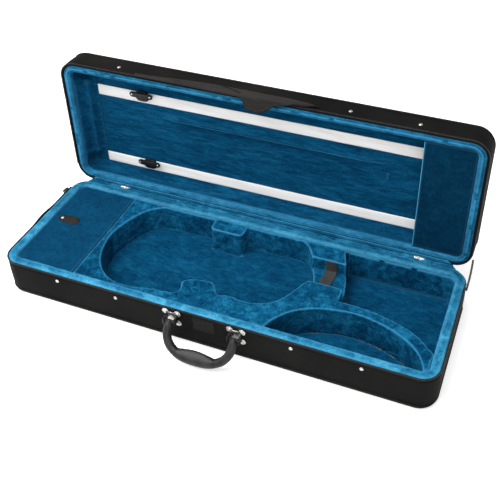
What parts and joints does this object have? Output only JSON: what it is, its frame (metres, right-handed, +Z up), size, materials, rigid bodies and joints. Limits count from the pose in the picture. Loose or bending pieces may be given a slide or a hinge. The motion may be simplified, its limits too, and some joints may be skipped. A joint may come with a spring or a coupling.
{
  "type": "violin case",
  "caption": "Oblong padded violin case, open: hinged lid with bow holders, plush-lined tray with a shaped violin hollow, covered pocket and front handle.",
  "frame": {"origin": "middle of the tray's base, on the surface it stands on", "axes": "+X along the case towards the scroll end, -Y towards the handle, +Z up"},
  "size_m": [0.7993, 0.3765, 0.3398],
  "materials": {
    "black_cloth": "coarse woven nylon, matt, slightly brown in the light",
    "piping": "cloth bound over cord",
    "board": "thin plywood, hidden",
    "wall_foam": "stiff moulded foam, hidden",
    "rim_plush": "short pile plush, brushed light",
    "plush": "short pile plush with brushed patches",
    "dark_plush": "short pile plush, dark",
    "zip_black": "woven tape with a nylon coil",
    "satin_band": "smooth satin",
    "strap_webbing": "woven webbing with a hook and loop face",
    "nickel": "bright nickel plate",
    "black_plastic": "moulded, half gloss",
    "handle_leather": "padded leathercloth over a steel rod",
    "tab_leather": "smooth leathercloth",
    "hook_pile": "hook and loop",
    "zip_metal": "black enamel on cast zinc"
  },
  "bodies": {
    "tray": {"tray_base_cover": "black_cloth", "tray_base_panel": "board", "tray_side_cover": "black_cloth", "tray_piping": "piping", "tray_wall": "wall_foam", "tray_rim_trim": "rim_plush", "tray_zip": "zip_black", "accessory_partition": "plush", "accessory_ledge": "plush", "accessory_floor_pad": "plush", "lower_bout_rear_block": "plush", "lower_bout_front_block": "plush", "waist_rear_block": "plush", "upper_bout_front_block": "plush", "neck_rear_block": "plush", "neck_cradle_block": "plush", "neck_front_block": "plush", "crescent_wall": "plush", "violin_floor_pad": "plush", "scroll_floor_pad": "plush", "crescent_floor_pad": "plush", "neck_strap": "strap_webbing", "tray_rivets": "nickel", "handle_plates": "nickel", "handle_posts": "black_plastic", "handle_rivets": "nickel", "hook_patch": "hook_pile", "hinge_tray_leaves": "nickel", "hinge_pins": "nickel", "hinge_tape": "black_cloth", "zip_end_tape": "zip_black"},
    "lid": {"lid_top_cover": "black_cloth", "lid_top_panel": "board", "lid_side_cover": "black_cloth", "lid_piping": "piping", "lid_wall": "wall_foam", "lid_rim_trim": "rim_plush", "lid_hem": "black_cloth", "lid_zip": "zip_black", "lid_lining_panel": "plush", "upper_bow_strip": "satin_band", "lower_bow_strip": "satin_band", "music_pocket": "plush", "bow_tip_pocket": "dark_plush", "upper_bow_base": "black_plastic", "lower_bow_base": "black_plastic", "lid_rivets": "nickel", "flap_band": "black_cloth", "hinge_lid_leaves": "nickel"},
    "flap": {"closing_flap": "black_cloth", "loop_patch": "hook_pile"},
    "handle": {"handle_bail": "handle_leather", "handle_grip": "handle_leather"},
    "accessory_lid": {"accessory_lid": "plush", "accessory_tab": "tab_leather", "accessory_tab_rivet": "nickel"},
    "upper_clip": {"upper_bow_clip": "black_plastic"},
    "lower_clip": {"lower_bow_clip": "black_plastic"},
    "zip_slider": {"zip_slider": "zip_metal"},
    "zip_pull": {"zip_pull": "zip_metal"}
  },
  "joints": [
    {"name": "lid_hinge", "type": "hinge", "parent": "tray", "child": "lid", "pos_m": [0, 0.1295, 0.0743], "axis": [1, 0, 0], "range_deg": [0, 92.1], "deforming": ["hinge_tape", "zip_end_tape"]},
    {"name": "flap_swing", "type": "hinge", "parent": "lid", "child": "flap", "pos_m": [0, 0.136, 0.33894], "axis": [1, 0, 0], "range_deg": [-92.2, 0]},
    {"name": "handle_swing", "type": "hinge", "parent": "tray", "child": "handle", "pos_m": [0.0065, -0.1389, 0.053], "axis": [-1, 0, 0], "range_deg": [0, 90]},
    {"name": "accessory_lid_hinge", "type": "hinge", "parent": "tray", "child": "accessory_lid", "pos_m": [-0.2617, 0, 0.0653], "axis": [0, -1, 0], "range_deg": [-100, 0]},
    {"name": "upper_clip_turn", "type": "hinge", "parent": "lid", "child": "upper_clip", "pos_m": [-0.248, 0.17445, 0.27128], "axis": [0, 0.9993, -0.0366], "range_deg": [0, 90]},
    {"name": "lower_clip_turn", "type": "hinge", "parent": "lid", "child": "lower_clip", "pos_m": [-0.248, 0.16888, 0.11939], "axis": [0, 0.9993, -0.0366], "range_deg": [0, 90]},
    {"name": "zip_slide", "type": "slide", "parent": "tray", "child": "zip_slider", "axis": [0, -1, 0], "range_m": [0, 0.16]},
    {"name": "zip_pull_swing", "type": "hinge", "parent": "zip_slider", "child": "zip_pull", "pos_m": [-0.4015, 0.084, 0.0706], "axis": [0, 1, 0], "range_deg": [0, 170]}
  ],
  "couplings": [
    {"joint": "flap_swing", "follows": "lid_hinge", "ratio": -1}
  ]
}
